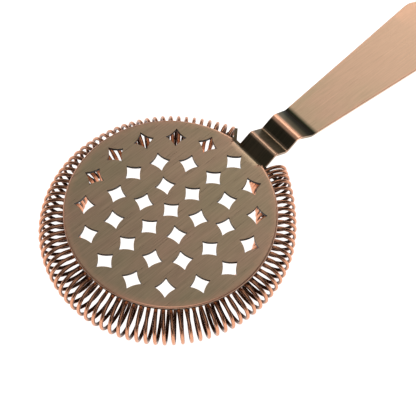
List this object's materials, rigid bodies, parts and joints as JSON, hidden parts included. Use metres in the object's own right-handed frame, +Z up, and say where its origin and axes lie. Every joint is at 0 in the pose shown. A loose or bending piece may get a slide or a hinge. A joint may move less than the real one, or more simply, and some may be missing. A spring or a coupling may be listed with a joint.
{
  "type": "hawthorne strainer",
  "caption": "Round perforated bar strainer plate with star-shaped holes, zig-zag neck and flared flat handle, ringed underneath by a coil spring.",
  "frame": {"origin": "centre of the round perforated plate, on the plate's flat underside", "axes": "+X from the plate's centre along the handle, +Z up out of the plate's upper face"},
  "size_m": [0.1938, 0.09, 0.0183],
  "materials": {
    "antique_copper_sheet": "brushed antique-copper plating on stainless sheet",
    "antique_copper_wire": "antique-copper plating on drawn spring wire, bright on the crests"
  },
  "bodies": {
    "body": {"strainer_body": "antique_copper_sheet"},
    "spring": {"coil_spring": "antique_copper_wire"}
  },
  "joints": [
    {"name": "spring_squeeze", "type": "slide", "parent": "body", "child": "spring", "axis": [1, 0, 0], "range_m": [0, 0.0025], "stiffness_N_per_m": 400}
  ]
}
